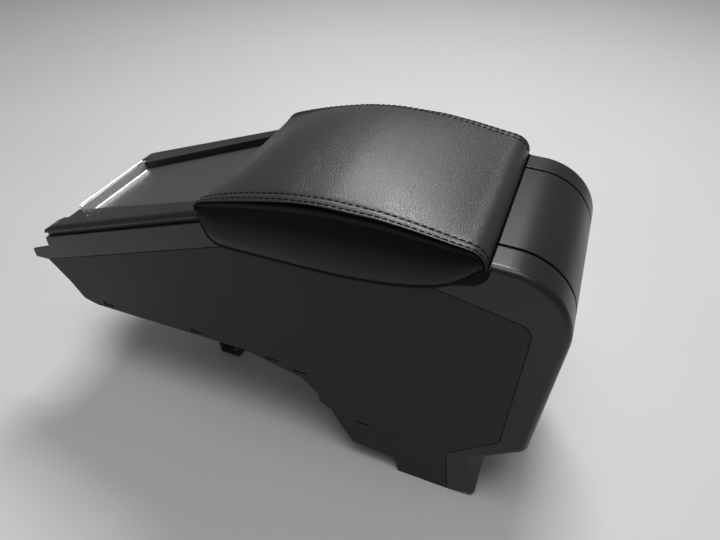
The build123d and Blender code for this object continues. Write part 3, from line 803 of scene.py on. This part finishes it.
@dataclass
class Armrest:
    """Padded armrest: leather cushion, two side pads, dark strips painting the shadow under them, and
    the sewn rows.

    Lengths are in millimetres of the layout.
    """

    leather: bpy.types.Material
    vinyl: bpy.types.Material
    thread: bpy.types.Material
    rubber: bpy.types.Material

    # Side seam as (x, z, half width)
    seam: tuple[tuple[float, float, float], ...] = (
        (-54.0, 317.0, 101.1), (-40.0, 324.0, 101.5), (-9.0, 333.0, 103.0), (22.0, 340.0, 104.2),
        (55.0, 346.0, 105.0), (90.0, 348.7, 105.0), (125.0, 348.7, 105.0), (166.0, 345.0, 105.0),
        (192.0, 341.4, 105.0), (206.6, 339.4, 104.8), (215.5, 335.6, 104.7), (222.6, 321.0, 104.5))

    # Cushion at the seam's level as (x, z): front hem, back, then the roll round the hinge
    nose: tuple[tuple[float, float], ...] = (
        (-52.4, 307.2), (-53.6, 310.5), (-53.4, 314.5), (-50.6, 318.8), (-45.5, 322.0))
    back: tuple[tuple[float, float], ...] = (
        (-9.0, 333.0), (22.0, 340.0), (55.0, 346.0), (90.0, 348.7), (125.0, 348.7), (150.0, 346.9),
        (175.0, 343.9), (192.0, 341.4))
    hinge: tuple[float, float] = (HINGE_LAYOUT_X, 321.0)
    roll_radius: float = 18.6
    roll_angles: tuple[float, ...] = (82.0, 68.0, 54.0, 40.0, 26.0, 12.0, 0.0)
    underside: tuple[tuple[float, float], ...] = (
        (-51.5, 307.4), (-51.6, 312.0), (-20.0, 322.6), (13.0, 330.6), (53.0, 341.1), (66.0, 343.8),
        (125.0, 341.6), (167.0, 339.1), (186.0, 336.1), (204.0, 335.0), (211.0, 333.1),
        (216.1, 328.0), (218.0, 321.4))
    inner_half: float = 97.0

    # Rise of the middle and half width by the length from the front hem
    crown: tuple[tuple[float, float], ...] = (
        (0.0, -1.0), (6.0, -1.6), (13.0, -4.2), (24.0, -3.6), (34.0, -1.0), (46.0, 3.0),
        (66.0, 8.0), (105.0, 12.2), (150.0, 11.6), (190.0, 8.4), (215.0, 6.0), (240.0, 3.5),
        (258.0, 1.8), (271.0, 0.8), (285.0, 0.5), (300.0, 0.5))
    half: tuple[tuple[float, float], ...] = (
        (0.0, 100.9), (20.0, 101.6), (55.0, 103.1), (90.0, 104.3), (120.0, 104.9), (240.0, 105.0),
        (300.0, 104.6))
    crown_power: float = 2.0
    crown_round: float = 0.72
    section_points: int = 160

    # Rows from front to rear, columns by their way from the seam, columns that are sewn
    lengths: int = 97
    steps: tuple[float, ...] = (
        0.0, 1.1, 2.3, 3.4, 4.8, 6.6, 8.3, 9.7, 11.4, 14.0, 18.0, 23.5, 30.0, 38.0, 47.0, 57.0,
        68.0, 80.0, 92.0)
    row_columns: tuple[int, int] = (3, 7)
    pinch: float = 0.5
    hole_pinch: float = 0.9

    # Cloth simulation of the leather
    glued_row: int = 86
    puff_limit: float = 1.6
    puff_passes: int = 9
    puff_frames: int = 20
    puff_quality: int = 6
    puff_pressure: float = 4.0
    puff_stiffness: float = 30.0
    puff_bending: float = 4.0

    # Stitches: rows left free at both ends, thread, free share at a stitch's ends, and its rise and
    # sink in thread radii
    first_hole: int = 2
    free_rows: int = 3
    thread_radius: float = 0.7
    thread_sides: int = 6
    thread_ends: float = 0.62
    stitch_margin: float = 0.05
    stitch_points: int = 9
    stitch_rise: float = 0.75
    stitch_sink: float = 0.35
    stitch_slant: float = 0.5

    # Side pad: lower edge as (x, z), shape as (share of its height, depth behind the seam)
    lower_edge: tuple[tuple[float, float], ...] = (
        (-49.6, 312.0), (-49.2, 304.0), (-46.6, 293.0), (-41.0, 280.0), (-31.0, 274.6),
        (-10.0, 274.4), (35.0, 275.0), (80.0, 275.8), (110.0, 278.0), (135.0, 281.2),
        (158.0, 285.6), (178.0, 291.4), (194.0, 299.2), (206.0, 309.0), (214.5, 319.5),
        (219.5, 326.0))
    pad_shape: tuple[tuple[float, float], ...] = (
        (0.0, 5.2), (0.015, 3.4), (0.03, 2.0), (0.055, 1.1), (0.085, 0.8), (0.115, 1.0),
        (0.145, 2.0), (0.175, 3.6), (0.21, 4.8), (0.27, 5.2), (0.36, 4.9), (0.47, 4.0),
        (0.58, 3.0), (0.69, 2.1), (0.79, 1.4), (0.87, 1.0), (0.93, 1.3), (0.97, 2.5), (1.0, 5.0))
    pad_rows: int = 72
    pad_drop: float = 2.2
    pad_set_in: float = 0.4
    pad_full_height: float = 30.0
    pad_least_height: float = 1.0
    pad_least_depth: float = 0.8
    pad_gap: float = 1.1

    # Side wall of the console that the pads and the painted shadow strips lie against
    wall_half: float = 105.0
    wall_rear: float = 302.0
    wall_taper: float = 0.0075
    wall_draft: float = 0.018

    # Painted shadow strip, a dark rubber strip standing in for the shadow under the pad's lower edge
    # and
    # in the hollow at its rear end: slice of the pad's lower edge that it follows, end of its line as
    # (x, z), section as (share of its height, distance from the wall)
    shadow_strip_span: tuple[int, int] = (1, -3)
    shadow_strip_tail: tuple[tuple[float, float], ...] = (
        (204.0, 303.0), (213.0, 305.4), (219.6, 312.0), (222.0, 322.0))
    shadow_strip_section: tuple[tuple[float, float], ...] = ((0.0, 0.5), (0.0, 1.0), (1.0, 1.0), (1.0, 0.5))
    shadow_strip_rows: int = 90
    shadow_strip_height: float = 15.0
    shadow_strip_drop: float = 4.0

    def profile(self) -> list[Vector]:
        """Draw the armrest's middle line at the seam's level.

        Returns:
            Even points from the front hem over the top to the rear hem.
        """
        line = [place(x, 0, z) for x, z in self.nose + self.back]
        hinge_x, hinge_z = self.hinge
        for angle in self.roll_angles:
            turn = math.radians(angle)
            line.append(place(hinge_x + self.roll_radius * math.cos(turn), 0,
                              hinge_z + self.roll_radius * math.sin(turn)))
        return smooth_path(line, self.lengths)

    def section(self, at: Vector, out: Vector, half: float, crown: float) -> list[Vector]:
        """One crowned line from the left seam to the right seam.

        Args:
            at: middle of the line at the seam's level.
            out: direction out of the surface.
            half: half width in millimetres.
            crown: rise of the middle over the seam in millimetres.

        Returns:
            Points at the cushion's columns.
        """
        fine = []
        for i in range(self.section_points + 1):
            share = 1 - math.cos(math.pi / 2 * i / self.section_points)
            rise = (1 - (1 - share) ** self.crown_power) ** self.crown_round
            fine.append(at + Vector((0, -half * (1 - share) * MM, 0)) + out * crown * rise * MM)
        left = spread(fine, [step * MM for step in self.steps])
        right = [Vector((p.x, -p.y, p.z)) for p in reversed(left)]
        return left + [fine[-1]] + right

    def outline(self) -> tuple[list[list[Vector]], list[list[Vector]]]:
        """Lay out the cushion.

        Returns:
            Rows of its upper surface and rows of its lower surface.
        """
        line = self.profile()
        total = path_length(line) / MM
        crown = Track1D(self.crown)
        half = Track1D(self.half)
        upper = []
        for i, at in enumerate(line):
            along = line[min(i + 1, len(line) - 1)] - line[max(i - 1, 0)]
            out = Vector((-along.z, 0, along.x)).normalized()
            where = total * i / (len(line) - 1)
            upper.append(self.section(at, out, half.at(where), crown.at(where)))
        columns = len(upper[0])
        under = smooth_path([place(x, 0, z) for x, z in self.underside], self.lengths)
        lower = []
        for at in under:
            lower.append([at + Vector((0, self.inner_half * (2 * j / (columns - 1) - 1) * MM, 0))
                          for j in range(columns)])
        return upper, lower

    def cushion(self) -> bpy.types.Object:
        """Make the closed cushion, puffed between its sewn rows.

        Returns:
            The cushion.
        """
        upper, lower = self.outline()
        rows, columns = len(upper), len(upper[0])
        points = [point.copy() for row in upper for point in row]
        sewn = list(self.row_columns) + [columns - 1 - k for k in self.row_columns]
        for i in range(rows):
            along = upper[min(i + 1, rows - 1)][0] - upper[max(i - 1, 0)][0]
            depth = self.pinch if i % 2 else self.hole_pinch
            for j in sewn:
                across = upper[i][min(j + 1, columns - 1)] - upper[i][j - 1]
                out = along.cross(across).normalized()
                if out.z < 0:
                    out.negate()
                points[i * columns + j] -= out * depth * MM
        points += [point for row in lower for point in row]
        piece = new_piece("armrest_cushion", points, shell_faces(rows, columns), self.leather)
        held = set(rim(rows, columns)) | set(range(rows * columns, 2 * rows * columns))
        held |= {i * columns + j for i in range(rows) for j in sewn}
        held |= set(range(self.glued_row * columns, rows * columns))
        self.puff(piece, held)
        round_off(piece)
        return piece

    def puff(self, piece: bpy.types.Object, held: set[int]) -> None:
        """Blow the leather up a little between its seams.

        Args:
            piece: the cushion, which gets the simulated shape.
            held: numbers of the vertices that stay in place.
        """
        before = [vertex.co.copy() for vertex in piece.data.vertices]
        outward = [vertex.normal.copy() for vertex in piece.data.vertices]
        pins = piece.vertex_groups.new(name="held")
        pins.add(sorted(held), 1.0, "REPLACE")
        cloth = piece.modifiers.new("puff", "CLOTH")
        settings = cloth.settings
        settings.quality = self.puff_quality
        settings.vertex_group_mass = pins.name
        settings.use_pressure = True
        settings.uniform_pressure_force = self.puff_pressure
        settings.tension_stiffness = self.puff_stiffness
        settings.compression_stiffness = self.puff_stiffness
        settings.bending_stiffness = self.puff_bending
        settings.effector_weights.gravity = 0.0
        cloth.point_cache.frame_end = self.puff_frames
        scene = bpy.context.scene
        for number in range(1, self.puff_frames + 1):
            scene.frame_set(number)
        graph = bpy.context.evaluated_depsgraph_get()
        shaped = piece.evaluated_get(graph).to_mesh()
        after = [vertex.co.copy() for vertex in shaped.vertices]
        piece.modifiers.clear()
        piece.vertex_groups.clear()
        scene.frame_set(1)
        limit = self.puff_limit * MM
        lifts = [min(max((new - old).dot(out), 0.0), limit)
                 for old, new, out in zip(before, after, outward)]
        lifts = self.even_out(piece, lifts, held)
        for vertex, old, out, lift in zip(piece.data.vertices, before, outward, lifts):
            vertex.co = old + out * lift
        piece.data.update()

    def even_out(self, piece: bpy.types.Object, lifts: list[float], held: set[int]) -> list[float]:
        """Smooth the lifts of the puffed leather between its seams.

        Args:
            piece: the cushion.
            lifts: outward step of every vertex.
            held: numbers of the vertices that stay in place.

        Returns:
            The smoothed lifts.
        """
        near: list[list[int]] = [[i] for i in range(len(lifts))]
        for edge in piece.data.edges:
            a, b = edge.vertices
            near[a].append(b)
            near[b].append(a)
        for _ in range(self.puff_passes):
            means = [sum(lifts[k] for k in group) / len(group) for group in near]
            lifts = [0.0 if i in held else mean for i, mean in enumerate(means)]
        return lifts

    def side_pad(self, side: Side) -> bpy.types.Object:
        """Make the padded panel under one side seam.

        Args:
            side: side of the car.

        Returns:
            The pad, with each point's share of the pad's height in its attribute "drop".
        """
        seam_z = Track1D([(x, z) for x, z, _ in self.seam])
        seam_y = Track1D([(x, y) for x, _, y in self.seam])
        edge = smooth_path([place(x, 0, z) for x, z in self.lower_edge], self.pad_rows)
        outer: list[Vector] = []
        inner: list[Vector] = []
        for low in edge:
            x = low.x / MM - SHIFT
            top = seam_z.at(x) - self.pad_drop
            height = max(top - low.z / MM, self.pad_least_height)
            depth = min(1.0, height / self.pad_full_height)
            for share, dip in self.pad_shape:
                z = top - height * share
                back = self.wall(x, z) + self.pad_gap
                y = max(seam_y.at(x) - self.pad_set_in - dip * depth, back + self.pad_least_depth)
                outer.append(place(x, side.value * y, z))
                inner.append(place(x, side.value * back, z))
        rows, columns = len(edge), len(self.pad_shape)
        name = f"{side.name.lower()}_side_pad"
        piece = new_piece(name, outer + inner, shell_faces(rows, columns), self.vinyl)
        # The drop also sets the painted shade and sheen of the pad's finish
        drops = [share for _ in range(2 * rows) for share, _ in self.pad_shape]
        piece.data.attributes.new("drop", "FLOAT", "POINT").data.foreach_set("value", drops)
        round_off(piece)
        return piece

    def wall(self, x: float, z: float) -> float:
        """Half width of the console's side at a layout place."""
        return self.wall_half - (self.wall_rear - x) * self.wall_taper - z * self.wall_draft

    def shadow_strip(self, side: Side) -> bpy.types.Object:
        """Make a thin dark rubber strip, a painted shadow, behind the lower edge of one side pad.

        Args:
            side: side of the car.

        Returns:
            The strip.
        """
        first, last = self.shadow_strip_span
        line = self.lower_edge[first:last] + self.shadow_strip_tail
        edge = smooth_path([place(x, 0, z) for x, z in line], self.shadow_strip_rows)
        points = []
        for i, low in enumerate(edge):
            along = (edge[min(i + 1, len(edge) - 1)] - edge[max(i - 1, 0)]).normalized()
            for share, out in self.shadow_strip_section:
                step = self.shadow_strip_height * share - self.shadow_strip_drop
                x = low.x / MM - SHIFT - along.z * step
                z = low.z / MM + along.x * step
                points.append(place(x, side.value * (self.wall(x, z) + out), z))
        faces = tube_faces(len(edge), len(self.shadow_strip_section))
        return new_piece(f"{side.name.lower()}_seal", points, faces, self.rubber)

    def stitches(self, side: Side, cushion: bpy.types.Object) -> bpy.types.Object:
        """Two rows of stitches along one seam.

        Args:
            side: side of the car.
            cushion: the cushion that they are sewn into.

        Returns:
            The stitches as one piece.
        """
        upper, _ = self.outline()
        columns = len(upper[0])
        tree = BVHTree.FromObject(cushion, bpy.context.evaluated_depsgraph_get())
        points: list[Vector] = []
        faces: list[tuple[int, ...]] = []
        last = self.stitch_points - 1
        shares = [self.stitch_margin + (1 - 2 * self.stitch_margin) * k / last for k in range(last + 1)]
        for column in self.row_columns:
            j = column if side is Side.LEFT else columns - 1 - column
            for i in range(self.first_hole, len(upper) - self.free_rows, 2):
                hole_to_hole = [upper[i][j], upper[i + 1][j], upper[i + 2][j]]
                total = path_length(hole_to_hole)
                line = spread(hole_to_hole, [total * share for share in shares])
                faces += tube_faces(len(line), self.thread_sides, len(points))
                points += self.sew(line, tree)
        return new_piece(f"{side.name.lower()}_stitches", points, faces, self.thread)

    def sew(self, line: Sequence[Vector], tree: BVHTree) -> list[Vector]:
        """Lay one stitch on the leather.

        Args:
            line: points along the stitch.
            tree: the surface that it lies on.

        Returns:
            The rings of points round its thread.
        """
        points = []
        for i, at in enumerate(line):
            share = i / (len(line) - 1)
            found, normal, _, _ = tree.find_nearest(at)
            along = (line[min(i + 1, len(line) - 1)] - line[max(i - 1, 0)]).normalized()
            across = normal.cross(along).normalized()
            arch = math.sin(math.pi * share)
            radius = self.thread_radius * (self.thread_ends + (1 - self.thread_ends) * arch) * MM
            lift = self.stitch_rise * arch - self.stitch_sink
            lean = (share - 0.5) * self.stitch_slant * MM
            middle = found + normal * lift * self.thread_radius * MM + across * lean
            for k in range(self.thread_sides):
                turn = 2 * math.pi * k / self.thread_sides
                points.append(middle + (across * math.cos(turn) + normal * math.sin(turn)) * radius)
        return points

    def build(self) -> None:
        """Make the soft pieces and put them on the armrest."""
        cushion = self.cushion()
        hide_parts("leather_top", "foam_pad")
        pieces = [(cushion, "leather")]
        for side in Side:
            pad = self.side_pad(side)
            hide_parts(f"{side.name.lower()}_gusset")
            pieces.append((pad, "gusset_leather"))
            pieces.append((self.stitches(side, cushion), "leather"))
            # Dark rubber strip, a painted shadow under the pad's lower edge
            pieces.append((self.shadow_strip(side), "rubber"))
        for piece, slot in pieces:
            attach(piece, Body.ARMREST.value)
            LOG.info("%s: %d faces", piece.name, len(piece.data.polygons))


@dataclass
class CadDress:
    """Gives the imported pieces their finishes."""

    finishes: dict[str, bpy.types.Material]
    sharp_angle: float = 32.0

    def dress(self) -> None:
        """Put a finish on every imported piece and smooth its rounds."""
        slots = {part["node"]: part["material_slot"] for part in frame["record"]["subparts"]}
        for name, piece in frame["nodes"].items():
            material = self.finishes[slots[name]]
            mesh = piece.data
            mesh.materials.clear()
            mesh.materials.append(material)
            mesh.polygons.foreach_set("use_smooth", [True] * len(mesh.polygons))
            mesh.set_sharp_from_angle(angle=math.radians(self.sharp_angle))
            LOG.info("%s: %s", name, material.name)


@dataclass(frozen=True)
class SoftLamp:
    """One square soft lamp, in metres and watts."""

    name: str
    at: Point
    to: Point
    size: float
    power: float

    def hang(self) -> None:
        """Put the lamp into the scene."""
        data = bpy.data.lights.new(self.name, "AREA")
        data.shape = "SQUARE"
        data.size = self.size
        data.energy = self.power
        lamp = bpy.data.objects.new(self.name, data)
        lamp.location = self.at
        lamp.rotation_euler = (Vector(self.to) - Vector(self.at)).to_track_quat("-Z", "Y").to_euler()
        bpy.context.scene.collection.objects.link(lamp)


@dataclass
class Studio:
    """Floor, lamps, world and camera; the camera's place is in the layout."""

    floor_finish: bpy.types.Material
    floor_reach: float = 6.0
    lamps: tuple[SoftLamp, ...] = (
        SoftLamp("window", at=(-0.02, 1.2, 2.1), to=(0.05, 0.0, 0.25), size=0.7, power=34.0),
        SoftLamp("ceiling", at=(0.30, -0.45, 2.2), to=(0.05, -0.1, 0.2), size=1.1, power=16.0))
    world_grey: Colour = (0.78, 0.79, 0.80)
    world_strength: float = 0.22
    eye: Point = (259.2, -456.4, 610.3)
    right: Point = (0.9280, 0.3725, -0.0044)
    down: Point = (0.2361, -0.5974, -0.7664)
    lens: float = 28.66
    sensor: float = 36.0
    nearest: float = 0.01

    def floor(self) -> None:
        """Lay the floor."""
        reach = self.floor_reach
        corners = [Vector((x, y, 0)) for x, y in
                   ((-reach, -reach), (reach, -reach), (reach, reach), (-reach, reach))]
        floor = new_piece("studio_floor", corners, [(0, 1, 2, 3)], self.floor_finish)

    def light(self) -> None:
        """Set the lamps and the world."""
        scene = bpy.context.scene
        world = bpy.data.worlds.new("studio")
        world.use_nodes = True
        back = world.node_tree.nodes["Background"]
        back.inputs["Color"].default_value = opaque(self.world_grey)
        back.inputs["Strength"].default_value = self.world_strength
        scene.world = world
        for lamp in self.lamps:
            lamp.hang()
        scene.view_settings.view_transform = "Standard"

    def camera(self) -> None:
        """Set up the camera at the photograph's place."""
        right = Vector(self.right).normalized()
        up = -Vector(self.down).normalized()
        back = right.cross(up)
        data = bpy.data.cameras.new("view")
        data.lens = self.lens
        data.sensor_width = self.sensor
        data.clip_start = self.nearest
        camera = bpy.data.objects.new("view", data)
        turn = Matrix((right, up, back)).transposed().to_4x4()
        camera.matrix_world = Matrix.Translation(place(*self.eye)) @ turn
        bpy.context.scene.collection.objects.link(camera)
        bpy.context.scene.camera = camera


def finishes() -> dict[str, bpy.types.Material]:
    """Make the finishes.

    Returns:
        The material of every slot of the record.
    """
    makers = (
        MouldedPlastic("frame_plastic", (0.013, 0.013, 0.014), roughness=0.34, edge=0.0016),
        MouldedPlastic("panel_plastic", (0.015, 0.015, 0.016), specular=0.35),
        MouldedPlastic("cover_plastic", (0.060, 0.060, 0.060)),
        PolishedMetal("polished_metal", (0.86, 0.87, 0.88)),
        Leather("leather", (0.021, 0.021, 0.022)),
        SideVinyl("gusset_leather", (0.015, 0.015, 0.016)),
        SoftMatte("foam", (0.30, 0.30, 0.28), speck=700.0, depth=0.0006),
        MouldedPlastic("inner_plastic", (0.016, 0.016, 0.017)),
        SheetSteel("steel", (0.05, 0.05, 0.052)),
        SheetSteel("plated_steel", (0.55, 0.55, 0.53), metallic=1.0, roughness=0.35),
        SoftMatte("rubber", (0.012, 0.012, 0.012), specular=0.1),
        SoftMatte("felt", (0.03, 0.03, 0.03), speck=1200.0, depth=0.0008, roughness=0.95),
    )
    return {maker.name: maker.material() for maker in makers}


def main() -> None:
    """Dress the console, build the armrest and set the studio."""
    logging.basicConfig(level=logging.INFO, format="%(message)s")
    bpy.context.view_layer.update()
    slots = finishes()
    CadDress(slots).dress()
    thread = SewingThread("thread", (0.006, 0.006, 0.006)).material()
    Armrest(slots["leather"], slots["gusset_leather"], thread, slots["rubber"]).build()
    studio = Studio(StudioFloor("floor", (0.70, 0.70, 0.69)).material())
    studio.floor()
    studio.light()
    studio.camera()


if __name__ == "__main__":
    main()
